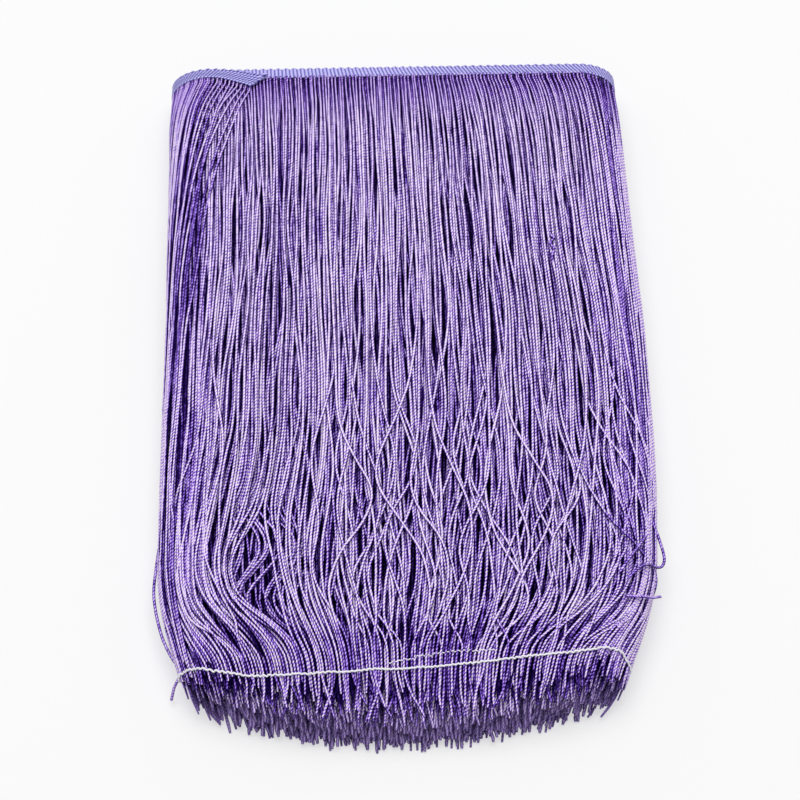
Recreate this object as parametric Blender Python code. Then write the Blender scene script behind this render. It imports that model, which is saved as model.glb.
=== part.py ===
"""A hank of tassel fringe trim, lying flat: five metres of fringe wound round and round into a pad.

Three sewn or woven pieces make it, each its own object:
  heading_tape    the ribbed tape that the fringe hangs from, wound into a flat coil with one loose end
  fringe          the hanging strands in their turns, fused at their roots to the strip under the tape
  basting_thread  the white thread sewn across the strands near their cut ends

+X runs along the heading, +Y from the cut ends to the heading, +Z up. The pad rests on Z = 0.
"""

import math
import random
from collections import namedtuple

import bmesh
import bpy
from mathutils import Vector

MM = 0.001

# Heading tape and its winding
TAPE_WIDTH = 8.5 * MM
TAPE_THICK = 1.0 * MM
TURN_PITCH = 1.3 * MM  # tape and the gap to the next turn
TURNS = 13
TAPE_TOP_DROP = 2.9 * MM  # how far the top run's free edge lies below its fringed edge
FOLD_STEPS = 8
LOOSE_END_STEPS = 4
LOOSE_END_X = -56 * MM  # where the last turn's cut end lies, at mid width
LOOSE_END_SLANT = 2.6 * MM  # half the slant of that cut
LOOSE_END_FLATTENS = 1.0  # share of the tape's tilt that is gone at its loose end
LOOSE_END_PRESSES = 0.2 * MM  # how far it presses in the turn below it
OPEN_FROM_X = -51 * MM  # from here to the right fold that turn lies open and level

# Strip that the strands are knitted into, and the clear gap between pieces
CLEAR = 0.3 * MM
STRIP_DEPTH = 2.0 * MM
ROOT_IN_STRIP = 1.0 * MM
ROOT_INSET = 0.25 * MM

# Fringe
TOP_DROP = 283 * MM  # the upper strands' reach from the heading
UNDER_DROP_MORE = 10 * MM  # the lowest strands reach this much further
SIDE_DROP_LESS = 16 * MM  # and those at the folds this much less
CUT_UNEVEN = 3.0 * MM
LUMP = 1.3 * MM  # most that a strand stands proud of its neighbours
SWAY = 3.2 * MM  # most that the strands lean aside
SEED = 51

# Basting thread: where it lies, as stations round the pad and distances down from the heading
THREAD_RADIUS = 0.5 * MM
THREAD_LIES_OFF = 0.5 * MM  # clear of the locks below it
THREAD_STEPS = 44
Stitch = namedtuple("Stitch", "station down")
STITCHES = [
    Stitch(-0.36, 267 * MM),
    Stitch(-0.15, 266 * MM),
    Stitch(0.10, 271 * MM),
    Stitch(0.42, 272 * MM),
    Stitch(0.74, 269 * MM),
    Stitch(0.97, 266 * MM),
    Stitch(1.20, 263 * MM),
    Stitch(1.34, 267 * MM),
]

# The pad's cross sections, by distance down from the heading: the sides' places, the pad's thickness,
# and the share of that thickness by which the pad is lower at its sides than in its middle.
Section = namedtuple("Section", "down left right thick crown")
SECTIONS = [
    Section(0 * MM, -97.5 * MM, 98.0 * MM, 35.5 * MM, 0.00),
    Section(14 * MM, -98.0 * MM, 99.0 * MM, 39.0 * MM, 0.02),
    Section(60 * MM, -97.5 * MM, 100.5 * MM, 38.0 * MM, 0.06),
    Section(120 * MM, -97.5 * MM, 103.0 * MM, 36.0 * MM, 0.09),
    Section(180 * MM, -98.0 * MM, 103.5 * MM, 35.0 * MM, 0.10),
    Section(235 * MM, -98.0 * MM, 100.0 * MM, 34.5 * MM, 0.10),
    Section(270 * MM, -87.5 * MM, 86.5 * MM, 30.0 * MM, 0.06),
    Section(292 * MM, -80.0 * MM, 78.5 * MM, 28.0 * MM, 0.08),
]
HEAD = SECTIONS[0]
BASTING = SECTIONS[-2]
HEAD_RADIUS = HEAD.thick / 2
RUN_START = HEAD.left + HEAD_RADIUS  # the heading's straight runs, between its folds
RUN_LENGTH = HEAD.right - HEAD_RADIUS - RUN_START
END_STATION = (LOOSE_END_X - RUN_START) / RUN_LENGTH
OPEN_STATION = (OPEN_FROM_X - RUN_START) / RUN_LENGTH

# Stations count round the pad: 0 to 1 over the top from left to right, 1 to 2 down the right fold,
# 2 to 3 under the pad, 3 to 4 up the left fold.
TOP, RIGHT_FOLD, UNDER, LEFT_FOLD = range(4)

# The strands are modelled as locks, in rings from the outside in. A ring's depths are measured at the
# heading; count is its number of locks on each side, and rows are the sections at which they bend.
Ring = namedtuple("Ring", "outer inner top fold under top_rows fold_rows under_rows")
RINGS = [
    Ring(0.0 * MM, 3.3 * MM, 66, 14, 26, (1, 3, 4, 5, 6), (1, 4, 5, 6), (1, 5)),
    Ring(3.9 * MM, 8.0 * MM, 28, 6, 20, (1, 5), (5,), (5,)),
    Ring(8.6 * MM, 12.6 * MM, 18, 3, 14, (4,), (4,), (4,)),
    Ring(13.2 * MM, 17.0 * MM, 14, 1, 12, (4,), (4,), (4,)),
]
LOCK_SHARE = 0.8  # of its pitch that a lock fills at its inner face
RIDGE_SHARE = 0.6  # of that width that is left at its outer face

# The last turn's fringe, from its loose end down to the left fold
LOOSE_LOCKS = 16
LOOSE_OUTER = -1.9 * MM
LOOSE_INNER = -0.5 * MM
LOOSE_FROM = 3.35  # station on the left fold where the last turn parts from the one below
LOOSE_SWEEP = 0.72  # share of its spread over the top that the loose fringe loses as it swings left
LOOSE_ROWS = [down * MM for down in (14, 32, 50, 68, 86, 104, 120, 180, 235, 270)]


def section_at(down):
    """The pad's cross section at a distance down from the heading, with straight lines between rows."""
    for low, high in zip(SECTIONS, SECTIONS[1:]):
        if down <= high.down or high is SECTIONS[-1]:
            share = (down - low.down) / (high.down - low.down)
            return Section(*(a + (b - a) * share for a, b in zip(low, high)))


def sway_at(down, across):
    """How far the strands lean aside, for a place across the pad from -1 to 1. It fades at both sides."""
    fade = (1 - across**2) * min(1.0, down / SECTIONS[3].down)
    if down > SECTIONS[-3].down:
        fade *= max(0.0, (BASTING.down - down) / (BASTING.down - SECTIONS[-3].down))
    wave = math.sin(down / (31 * MM) + 2.6 * across) + 0.5 * math.sin(down / (17 * MM) - 4.0 * across)
    return SWAY * fade * wave / 1.5


def wound_point(down, station, depth):
    """A point of the wound pad: down from the heading, round its outline, and in from its surface."""
    here = section_at(down)
    radius = here.thick / 2
    out = radius - depth * radius / HEAD_RADIUS
    first, last = here.left + radius, here.right - radius
    side, share = divmod(station % 4, 1)
    turn = math.pi * share
    if side == TOP:
        x, z = first + (last - first) * share, radius + out
    elif side == RIGHT_FOLD:
        x, z = last + out * math.sin(turn), radius + out * math.cos(turn)
    elif side == UNDER:
        x, z = last - (last - first) * share, radius - out
    else:
        x, z = first - out * math.sin(turn), radius - out * math.cos(turn)
    across = (2 * x - here.left - here.right) / (here.right - here.left)
    across = max(-1.0, min(1.0, across))
    return Vector((x + sway_at(down, across), -down, z * (1 - here.crown * across**4)))


def new_material(name, colour, roughness):
    """A plain material of one colour."""
    material = bpy.data.materials.new(name)
    material.use_nodes = True
    shader = material.node_tree.nodes["Principled BSDF"]
    shader.inputs["Base Color"].default_value = (*colour, 1)
    shader.inputs["Roughness"].default_value = roughness
    shader.inputs["Metallic"].default_value = 0
    return material


def new_object(name, bm, colour, roughness):
    """An object of its own material from a finished bmesh."""
    bmesh.ops.recalc_face_normals(bm, faces=bm.faces)
    mesh = bpy.data.meshes.new(name)
    bm.to_mesh(mesh)
    bm.free()
    made = bpy.data.objects.new(name, mesh)
    bpy.context.scene.collection.objects.link(made)
    mesh.materials.append(new_material(name, colour, roughness))
    return made


def sweep(bm, rings):
    """A closed tube through rings of points, which all have the same count."""
    rows = [[bm.verts.new(point) for point in ring] for ring in rings]
    sides = len(rows[0])
    for low, high in zip(rows, rows[1:]):
        for i in range(sides):
            j = (i + 1) % sides
            bm.faces.new((low[i], low[j], high[j], high[i]))
    bm.faces.new(rows[0])
    bm.faces.new(rows[-1][::-1])


def tape_edge(station, depth, flatten):
    """Points on the tape's fringed edge and its free edge, which lies lower towards the top of the pile."""
    fringed = wound_point(0, station, depth)
    drop = TAPE_TOP_DROP * fringed.z / HEAD.thick * (1 - flatten)
    free = fringed + Vector((0, math.sqrt(TAPE_WIDTH**2 - drop**2), -drop))
    return fringed, free


def tape_ring(station, depth, flatten=0.0, slant=0.0):
    """The tape's four corners at one station: both edges, outside and inside."""
    out_fringed, out_free = tape_edge(station, depth - TAPE_THICK / 2, flatten)
    in_fringed, in_free = tape_edge(station, depth + TAPE_THICK / 2, flatten)
    along = Vector((slant, 0, 0))
    return [out_fringed - along, out_free + along, in_free + along, in_fringed - along]


def make_heading_tape():
    """The tape from its inner end to its loose end. Each turn steps outwards on the left fold."""
    rings = []
    for turn in range(TURNS):
        depth = TAPE_THICK / 2 + (TURNS - 1 - turn) * TURN_PITCH
        if turn < TURNS - 1:
            rings.append(tape_ring(TOP, depth))
        else:
            rings.append(tape_ring(TOP, depth + LOOSE_END_PRESSES))
            rings.append(tape_ring(OPEN_STATION, depth))
        rings += [tape_ring(RIGHT_FOLD + i / FOLD_STEPS, depth) for i in range(FOLD_STEPS)]
        rings.append(tape_ring(UNDER, depth))
        for i in range(FOLD_STEPS):
            rings.append(tape_ring(LEFT_FOLD + i / FOLD_STEPS, depth - TURN_PITCH * i / FOLD_STEPS))
    loose_depth = TAPE_THICK / 2 - TURN_PITCH
    for i in range(LOOSE_END_STEPS + 1):
        share = i / LOOSE_END_STEPS
        slant = LOOSE_END_SLANT if i == LOOSE_END_STEPS else 0.0
        rings.append(tape_ring(END_STATION * share, loose_depth, LOOSE_END_FLATTENS * share, slant))
    bm = bmesh.new()
    sweep(bm, rings)
    return new_object("heading_tape", bm, (0.36, 0.33, 0.70), 0.7)


def strip_outline():
    """Stations and depths round the strip: the heading's own, and out over the loose end's stretch."""
    over = LOOSE_OUTER - ROOT_INSET
    fold = [i / FOLD_STEPS for i in range(FOLD_STEPS + 1)]
    plain = [(RIGHT_FOLD + share, 0.0) for share in fold]
    plain += [(LEFT_FOLD + share, 0.0) for share in fold if LEFT_FOLD + share < LOOSE_FROM]
    raised = [(LEFT_FOLD + share, over) for share in fold if LEFT_FOLD + share > LOOSE_FROM]
    return plain + [(LOOSE_FROM, 0.0)] + raised + [(END_STATION, over), (END_STATION, 0.0)]


def make_strip():
    """The narrow strip under the tape that holds every root, as one slab of the wound form."""
    outline = [wound_point(0, station, depth) for station, depth in strip_outline()]
    bm = bmesh.new()
    ends = []
    for down in (CLEAR, CLEAR + STRIP_DEPTH):
        ends.append([point - Vector((0, down, 0)) for point in outline])
    sweep(bm, ends)
    return new_object("fringe", bm, (0.30, 0.20, 0.52), 0.5)


def lock_end(station, depth, chance):
    """How far down a lock is cut: the lowest reach furthest and those at the folds least."""
    tip = wound_point(BASTING.down, station, depth)
    centre, half = (BASTING.left + BASTING.right) / 2, (BASTING.right - BASTING.left) / 2
    side = min(1.0, abs(tip.x - centre) / half)
    reach = TOP_DROP + UNDER_DROP_MORE * (1 - tip.z / BASTING.thick) - SIDE_DROP_LESS * side**2
    return reach + CUT_UNEVEN * chance.uniform(-1, 1)


def lock_ring(down, station, half, outer, inner):
    """A lock's four corners: a ridge outside, narrower than its foot inside."""
    ridge = half * RIDGE_SHARE
    return [
        wound_point(down, station - ridge, outer),
        wound_point(down, station + ridge, outer),
        wound_point(down, station + half, inner),
        wound_point(down, station - half, inner),
    ]


def root_ring(station, half, outer, inner):
    """A lock's corners within the strip, just inside the strip's own face."""
    back = Vector((0, CLEAR + STRIP_DEPTH - ROOT_IN_STRIP, 0))
    return [point - back for point in lock_ring(0, station, half, outer + ROOT_INSET, inner)]


def add_lock(bm, station, pitch, ring, rows, lumpy, chance):
    """One lock from its root in the strip to its cut end."""
    half = pitch * LOCK_SHARE / 2
    rings = [root_ring(station, half, ring.outer, ring.inner)]
    for row in rows:
        lift = LUMP * chance.random() if lumpy and SECTIONS[row] is not BASTING else 0
        rings.append(lock_ring(SECTIONS[row].down, station, half, ring.outer - lift, ring.inner))
    end = lock_end(station, (ring.outer + ring.inner) / 2, chance)
    rings.append(lock_ring(end, station, half, ring.outer, ring.inner))
    sweep(bm, rings)


def add_ring_of_locks(bm, ring, chance):
    """All the locks of one ring, side by side round the pad. The loose fringe lies on smooth ones."""
    sides = (
        (TOP, ring.top, ring.top_rows),
        (RIGHT_FOLD, ring.fold, ring.fold_rows),
        (UNDER, ring.under, ring.under_rows),
        (LEFT_FOLD, ring.fold, ring.fold_rows),
    )
    for side, count, rows in sides:
        for i in range(count):
            station = side + (i + 0.5) / count
            lumpy = ring is RINGS[0] and END_STATION < station < RIGHT_FOLD
            add_lock(bm, station, 1 / count, ring, rows, lumpy, chance)


def add_loose_locks(bm, chance):
    """The last turn's fringe: it hangs from the loose end and swings over to the left fold."""
    span = 4 + END_STATION - LOOSE_FROM
    pitch = span / (LOOSE_LOCKS + 1)
    half = pitch * LOCK_SHARE / 2
    for i in range(1, LOOSE_LOCKS + 1):
        rings = [root_ring(LOOSE_FROM + i * pitch, half, LOOSE_OUTER, LOOSE_INNER)]
        for down in LOOSE_ROWS:
            kept = 1 - LOOSE_SWEEP * min(1.0, down / SECTIONS[3].down)
            station = LOOSE_FROM + i * pitch * kept
            rings.append(lock_ring(down, station, half * kept, LOOSE_OUTER, LOOSE_INNER))
        end = lock_end(station, LOOSE_OUTER, chance)
        rings.append(lock_ring(end, station, half * kept, LOOSE_OUTER, LOOSE_INNER))
        sweep(bm, rings)


def make_fringe():
    """The strip, with every lock joined to it by one union."""
    chance = random.Random(SEED)
    bm = bmesh.new()
    for ring in RINGS:
        add_ring_of_locks(bm, ring, chance)
    add_loose_locks(bm, chance)
    locks = new_object("locks", bm, (0.30, 0.20, 0.52), 0.5)
    locks.hide_render = True
    locks.display_type = "WIRE"
    fringe = make_strip()
    union = fringe.modifiers.new("locks", "BOOLEAN")
    union.operation = "UNION"
    union.object = locks
    return fringe, locks


def thread_point(share):
    """A place on the basting thread's run, between its stitches, just off the locks it crosses."""
    place = share * (len(STITCHES) - 1)
    i = min(int(place), len(STITCHES) - 2)
    part = place - i
    ease = part * part * (3 - 2 * part)
    low, high = STITCHES[i], STITCHES[i + 1]
    station = low.station + (high.station - low.station) * part
    down = low.down + (high.down - low.down) * ease
    return wound_point(down, station, -THREAD_RADIUS - THREAD_LIES_OFF)


def make_basting_thread():
    """The sewn thread, as one round curve over the top and a little way down both folds."""
    curve = bpy.data.curves.new("basting_thread", "CURVE")
    curve.dimensions = "3D"
    curve.bevel_depth = THREAD_RADIUS
    curve.bevel_resolution = 1
    curve.use_fill_caps = True
    spline = curve.splines.new("POLY")
    spline.points.add(THREAD_STEPS)
    for i, point in enumerate(spline.points):
        point.co = (*thread_point(i / THREAD_STEPS), 1)
    thread = bpy.data.objects.new("basting_thread", curve)
    bpy.context.scene.collection.objects.link(thread)
    curve.materials.append(new_material("basting_thread", (0.86, 0.85, 0.88), 0.6))
    return thread


def set_on_floor(solids, others):
    """Moves everything so that the solids' box stands on Z = 0 with its middle at the origin."""
    corners = [solid.matrix_world @ vertex.co for solid in solids for vertex in solid.data.vertices]
    low = Vector([min(corner[axis] for corner in corners) for axis in range(3)])
    high = Vector([max(corner[axis] for corner in corners) for axis in range(3)])
    for piece in solids + others:
        piece.location -= Vector(((low.x + high.x) / 2, (low.y + high.y) / 2, low.z))


def main():
    for old in list(bpy.data.objects):
        bpy.data.objects.remove(old)
    tape = make_heading_tape()
    fringe, locks = make_fringe()
    set_on_floor([tape, fringe, locks], [make_basting_thread()])


main()
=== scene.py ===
"""The looks of a hank of tassel fringe trim, lying flat on a pale surface.

Some 2,800 violet chainette strands hang from a ribbed blue-violet heading tape, which is wound into a
flat coil of thirteen turns with one loose end. A white thread is basted across the strands near their
cut ends. Every strand, every turn of the tape and the thread are modelled at their real size.

Strands are placed by three coordinates of the wound pad: how far down from the heading, how far round
the pad, and how high above its surface. Lengths are in metres, and sections, tables, the ends of a rise,
courses and stitches give millimetres.
"""

import logging
import math
from dataclasses import dataclass, field
from enum import IntEnum
from functools import reduce
from typing import NamedTuple, Sequence

import bpy
import numpy as np
from mathutils import Matrix, Vector


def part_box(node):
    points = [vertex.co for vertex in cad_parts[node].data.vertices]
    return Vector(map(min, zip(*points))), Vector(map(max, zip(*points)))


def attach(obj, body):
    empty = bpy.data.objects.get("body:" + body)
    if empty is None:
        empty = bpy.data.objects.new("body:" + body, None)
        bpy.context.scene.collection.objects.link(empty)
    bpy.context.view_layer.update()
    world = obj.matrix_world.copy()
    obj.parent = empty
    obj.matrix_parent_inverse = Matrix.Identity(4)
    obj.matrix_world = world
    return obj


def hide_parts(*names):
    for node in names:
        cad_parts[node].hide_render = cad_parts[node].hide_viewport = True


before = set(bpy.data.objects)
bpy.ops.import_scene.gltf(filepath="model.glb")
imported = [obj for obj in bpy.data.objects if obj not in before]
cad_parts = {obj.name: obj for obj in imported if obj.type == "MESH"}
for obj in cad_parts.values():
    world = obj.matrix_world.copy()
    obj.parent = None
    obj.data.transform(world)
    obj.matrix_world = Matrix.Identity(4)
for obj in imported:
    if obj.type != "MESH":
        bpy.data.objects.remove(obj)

MM = 0.001
BODY = "root"
LOG = logging.getLogger("fringe_hank")

Array = np.ndarray
Socket = bpy.types.NodeSocket
Triple = tuple[float, float, float]
Table = tuple[tuple[float, ...], tuple[float, ...]]


class Side(IntEnum):
    """The pad's four sides, in their order round it, as the station each starts at."""

    LEFT_FOLD = -1
    TOP = 0
    RIGHT_FOLD = 1
    UNDER = 2


class Section(NamedTuple):
    """One cross section of the pad: where it is, its sides, its thickness and its crown."""

    down: float
    left: float
    right: float
    thick: float
    crown: float


SECTIONS = (
    Section(0.0, -97.5, 98.0, 35.5, 0.00),
    Section(14.0, -98.0, 99.0, 39.0, 0.02),
    Section(60.0, -97.5, 100.5, 38.0, 0.06),
    Section(120.0, -97.5, 103.0, 36.0, 0.09),
    Section(180.0, -98.0, 103.5, 35.0, 0.10),
    Section(235.0, -98.0, 100.0, 34.5, 0.10),
    Section(270.0, -87.5, 86.5, 30.0, 0.06),
    Section(292.0, -80.0, 78.5, 28.0, 0.08),
)


def smooth_step(low: float, high: float, value: Array) -> Array:
    """Zero below low, one above high, and an S curve between."""
    share = np.clip((value - low) / (high - low), 0.0, 1.0)
    return share * share * (3.0 - 2.0 * share)


def rise(low: float, high: float, length: Array) -> Array:
    """The same curve over a length, with its ends in millimetres."""
    return smooth_step(low * MM, high * MM, length)


def placed(name: str, data: bpy.types.ID) -> bpy.types.Object:
    """A new object of the scene that holds the given data."""
    made = bpy.data.objects.new(name, data)
    bpy.context.scene.collection.objects.link(made)
    return made


def lay_map(mesh: bpy.types.Mesh, name: str, u: Array, v: Array) -> None:
    """Gives a mesh a map, with a place for each corner of its faces."""
    layer = mesh.uv_layers.new(name=name, do_init=False)
    layer.uv.foreach_set("vector", np.stack([u, v], -1).astype(np.float32).ravel())


def store(mesh: bpy.types.Mesh, name: str, values: Array) -> None:
    """Gives a mesh an attribute, with a value for each of its points."""
    made = mesh.attributes.new(name, "FLOAT", "POINT")
    made.data.foreach_set("value", values.astype(np.float32))


def ring_walls(starts: Array, rows: int, sides: int) -> Array:
    """The faces of tubes whose points stand in rings.

    Args:
        starts: The number of each tube's first point.
        rows: How many rings a tube has.
        sides: How many points a ring has.

    Returns:
        The numbers of the faces' corners, four to a face.
    """
    ring = starts[:, None, None] + np.arange(rows - 1)[:, None] * sides
    side = np.arange(sides)
    after = (side + 1) % sides
    corners = [ring + side, ring + after, ring + sides + after, ring + sides + side]
    return np.stack(corners, -1).reshape(-1, 4)


class SmoothNoise:
    """Seeded noise that changes smoothly over a plane."""

    def __init__(self, rng: np.random.Generator, across: float, along: float) -> None:
        """Draws the noise's grid.

        Args:
            rng: Where its random values come from.
            across: The size of its patches in the first direction.
            along: The size of its patches in the second direction.
        """
        self.grid = rng.uniform(-1.0, 1.0, (96, 96))
        self.across = across
        self.along = along

    def at(self, x: Array, y: Array) -> Array:
        """The noise at places.

        Args:
            x: Places in the first direction.
            y: Places in the second direction.

        Returns:
            Values from -1 to 1.
        """
        u = np.mod(x / self.across + 31.0, 95.0)
        v = np.mod(y / self.along + 17.0, 95.0)
        i, j = u.astype(int), v.astype(int)
        a, b = u - i, v - j
        a, b = a * a * (3 - 2 * a), b * b * (3 - 2 * b)
        low = self.grid[i, j] * (1 - a) + self.grid[i + 1, j] * a
        high = self.grid[i, j + 1] * (1 - a) + self.grid[i + 1, j + 1] * a
        return low * (1 - b) + high * b


@dataclass
class Pad:
    """The wound form that all the strands follow, in the object's own frame.

    A station counts round the pad: -1 to 0 up the left fold, 0 to 1 over the top, 1 to 2 down the right
    fold and 2 to 3 back under the pad.
    """

    middle_x: float
    root_y: float
    ease: float = 12 * MM
    thinnest: float = 0.2 * MM
    table: Array = field(default_factory=lambda: np.array(SECTIONS) * [MM, MM, MM, MM, 1.0])

    @property
    def head_radius(self) -> float:
        """Half the pad's thickness at the heading."""
        return self.table[0, 3] / 2

    def section(self, down: Array) -> tuple[Array, ...]:
        """The pad's cross section, eased between the table's rows.

        Args:
            down: Distances from the heading.

        Returns:
            The left side, the right side, half the thickness, and the crown.
        """
        down = np.asarray(down, float)
        window = self.ease * np.clip(down / (3 * self.ease), 0.0, 1.0)
        steps = [down + window * share for share in (-1.0, -0.5, 0.0, 0.5, 1.0)]
        columns = []
        for column in range(1, 5):
            read = [np.interp(step, self.table[:, 0], self.table[:, column]) for step in steps]
            columns.append(sum(read) / len(read))
        left, right, thick, crown = columns
        return left, right, thick / 2, crown

    def run(self, down: Array) -> tuple[Array, Array]:
        """The length of the pad's flat top between its folds, and the folds' radius."""
        left, right, radius, _ = self.section(down)
        return right - left - 2 * radius, radius

    def station(self, down: Array, arc: Array) -> Array:
        """Turns distances round the pad, from the middle of its top, into stations.

        Args:
            down: Distances from the heading.
            arc: Distances round the pad.

        Returns:
            The stations.
        """
        run, radius = self.run(down)
        beyond = np.abs(arc) - run / 2
        on_fold = np.where(arc < 0, -beyond, beyond) / (math.pi * radius) + (arc > 0)
        return np.where(beyond > 0, on_fold, arc / run + 0.5)

    def arc(self, down: Array, station: Array) -> Array:
        """Turns stations on the top or a fold into distances from the middle of the top.

        Args:
            down: Distances from the heading.
            station: Places round the pad.

        Returns:
            The distances round the pad.
        """
        run, radius = self.run(down)
        beyond = np.where(station < 0.5, station, station - 1.0)
        folded = beyond * math.pi * radius + np.where(station < 0.5, -run / 2, run / 2)
        return np.where((station >= 0) & (station <= 1), (station - 0.5) * run, folded)

    def place(self, down: Array, station: Array, height: Array, depth: float = 0.0) -> tuple[Array, Array]:
        """Points of the pad and the directions that face out of it there.

        Args:
            down: Distances from the heading.
            station: Places round the pad.
            height: Distances out from the pad's surface.
            depth: How far in from the surface, as measured at the heading. It shrinks with the pad.

        Returns:
            The points and the outward directions, each with a last axis of three.
        """
        down, station, height = np.broadcast_arrays(down, station, height)
        left, right, radius, crown = self.section(down)
        out = np.maximum(radius * (1 - depth / self.head_radius) + height, self.thinnest)
        first, last = left + radius, right - radius
        station = np.mod(station + 1.0, 4.0) - 1.0
        side = np.floor(station)
        share = station - side
        sine, cosine = np.sin(math.pi * share), np.cos(math.pi * share)
        picks = [side == one for one in (Side.LEFT_FOLD, Side.TOP, Side.RIGHT_FOLD)]
        run = (last - first) * share
        x = np.select(picks, [first - out * sine, first + run, last + out * sine], last - run)
        up = np.select(picks, [-cosine, np.ones_like(share), cosine], -1.0)
        aside = np.select(picks, [-sine, np.zeros_like(share), sine], 0.0)
        across = np.clip((2 * x - left - right) / (right - left), -1.0, 1.0)
        z = (radius + out * up) * (1 - crown * across**4)
        points = np.stack([x + self.middle_x, self.root_y - down, z], -1)
        return points, np.stack([aside, np.zeros_like(aside), up], -1)


@dataclass
class Strands:
    """A batch of strands with equal rows: their middle lines, outward directions, radii and painted shade.
    """

    points: Array
    outs: Array
    radii: Array
    painted_shade: Array

    def joined(self, *others: "Strands") -> "Strands":
        """This batch and others as one."""
        parts = zip(*(vars(batch).values() for batch in (self, *others)))
        return Strands(*(np.concatenate(part) for part in parts))

    def thinned(self, every: int) -> "Strands":
        """This batch with only some of its rows, the last always among them."""
        rows = list(range(0, self.points.shape[1] - 1, every)) + [self.points.shape[1] - 1]
        return Strands(*(part[:, rows] for part in vars(self).values()))


@dataclass
class StrandMesh:
    """Turns strands into one mesh of closed tubes, with the maps that the yarn's finish reads."""

    name: str
    sides: int
    flatness: float = 0.82
    tiles: tuple[int, int] = (12, 12)
    end_dome: float = 0.3
    longest_start: float = 40.0

    def build(self, strands: Strands, rng: np.random.Generator) -> bpy.types.Object:
        """Makes the object.

        Args:
            strands: The batch to make.
            rng: Gives each strand its own tone and turn.

        Returns:
            The new mesh object.
        """
        count, rows = strands.points.shape[:2]
        vertices = np.concatenate([part.reshape(-1, 3) for part in self._rings(strands)])
        quads = ring_walls(np.arange(count) * rows * self.sides, rows, self.sides)[:, ::-1]
        caps = self._caps(count, rows)
        mesh = bpy.data.meshes.new(self.name)
        corners = np.concatenate([quads.ravel(), caps.ravel()])
        totals = np.concatenate([np.full(len(quads), 4), np.full(len(caps), 3)])
        mesh.vertices.add(len(vertices))
        mesh.vertices.foreach_set("co", vertices.ravel())
        mesh.loops.add(len(corners))
        mesh.loops.foreach_set("vertex_index", corners)
        mesh.polygons.add(len(totals))
        mesh.polygons.foreach_set("loop_start", np.concatenate([[0], np.cumsum(totals)[:-1]]))
        mesh.polygons.foreach_set("loop_total", totals)
        mesh.polygons.foreach_set("use_smooth", np.ones(len(totals), bool))
        mesh.update(calc_edges=True)
        self._maps(mesh, strands, rng)
        self._shade_and_tone(mesh, strands, rng)
        return placed(self.name, mesh)

    def _rings(self, strands: Strands) -> tuple[Array, Array]:
        """The tubes' rings of points, and the middle points of their two ends."""
        points = strands.points
        along = np.gradient(points, axis=1)
        along /= np.linalg.norm(along, axis=-1, keepdims=True) + 1e-12
        aside = np.cross(along, strands.outs + [0.0, 0.0, 0.4])
        aside /= np.linalg.norm(aside, axis=-1, keepdims=True) + 1e-12
        up = np.cross(aside, along)
        turn = np.arange(self.sides) * 2 * math.pi / self.sides
        wide = strands.radii[..., None, None] * np.cos(turn)[:, None] * aside[:, :, None]
        high = strands.radii[..., None, None] * np.sin(turn)[:, None] * up[:, :, None]
        rings = points[:, :, None] + wide + self.flatness * high
        ends = [0, -1]
        domes = along[:, ends] * strands.radii[:, ends, None] * [[[-self.end_dome], [self.end_dome]]]
        return rings, points[:, ends] + domes

    def _caps(self, count: int, rows: int) -> Array:
        """The tubes' ends, as fans of triangles.

        Args:
            count: How many tubes there are.
            rows: How many rings a tube has.

        Returns:
            The numbers of the faces' corners, three to a face.
        """
        strand = np.arange(count)[:, None]
        side = np.arange(self.sides)[None, :]
        after = (side + 1) % self.sides
        start = strand * rows * self.sides
        last = start + (rows - 1) * self.sides
        middle = count * rows * self.sides + strand * 2
        root = np.stack(np.broadcast_arrays(start + side, start + after, middle), -1)
        tip = np.stack(np.broadcast_arrays(last + after, last + side, middle + 1), -1)
        return np.concatenate([root.reshape(-1, 3), tip.reshape(-1, 3)])[:, ::-1]

    def _maps(self, mesh: bpy.types.Mesh, strands: Strands, rng: np.random.Generator) -> None:
        """Lays two maps: round and along in millimetres, and each strand in a place of its own.

        Args:
            mesh: The tubes' mesh.
            strands: The batch that it shows.
            rng: Gives each strand its own start along the yarn.
        """
        count, rows = strands.points.shape[:2]
        steps = np.linalg.norm(np.diff(strands.points, axis=1), axis=-1)
        along = np.concatenate([np.zeros((count, 1)), np.cumsum(steps, 1)], 1) / MM
        along = along + rng.uniform(0, self.longest_start, (count, 1))
        strand, row, side, corner = np.indices((count, rows - 1, self.sides, 4))
        row, side = row + np.array([0, 0, 1, 1])[corner], side + np.array([0, 1, 1, 0])[corner]
        strand, row, side = (part[..., ::-1].reshape(-1) for part in (strand, row, side))
        capped = np.repeat(np.tile(np.arange(count), 2), self.sides * 3)
        strand = np.concatenate([strand, capped])
        row = np.concatenate([row, np.repeat([0, rows - 1], len(capped) // 2)])
        around = np.concatenate([side / self.sides, np.full(len(capped), 0.25)])
        lay_map(mesh, "yarn", around, along[strand, row])
        wide, tall = self.tiles
        u = (strand % wide + 0.05 + 0.9 * around) / wide
        v = (strand // wide % tall + 0.02 + 0.96 * row / (rows - 1)) / tall
        lay_map(mesh, "OFBake", u, v)

    def _shade_and_tone(self, mesh: bpy.types.Mesh, strands: Strands, rng: np.random.Generator) -> None:
        """Stores each point's painted shade, and its strand's own tone.

        Args:
            mesh: The tubes' mesh.
            strands: The batch that it shows.
            rng: Gives each strand its tone.
        """
        count, rows = strands.points.shape[:2]
        tone = rng.uniform(-1, 1, count)
        # The painted shade at every point of the rings, and at the middles of the two ends.
        painted_shade = np.repeat(strands.painted_shade, self.sides, axis=1)
        store(mesh, "painted_shade", np.concatenate([painted_shade.ravel(), strands.painted_shade[:, [0, -1]].ravel()]))
        store(mesh, "tone", np.concatenate([np.repeat(tone, rows * self.sides), np.repeat(tone, 2)]))


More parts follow.
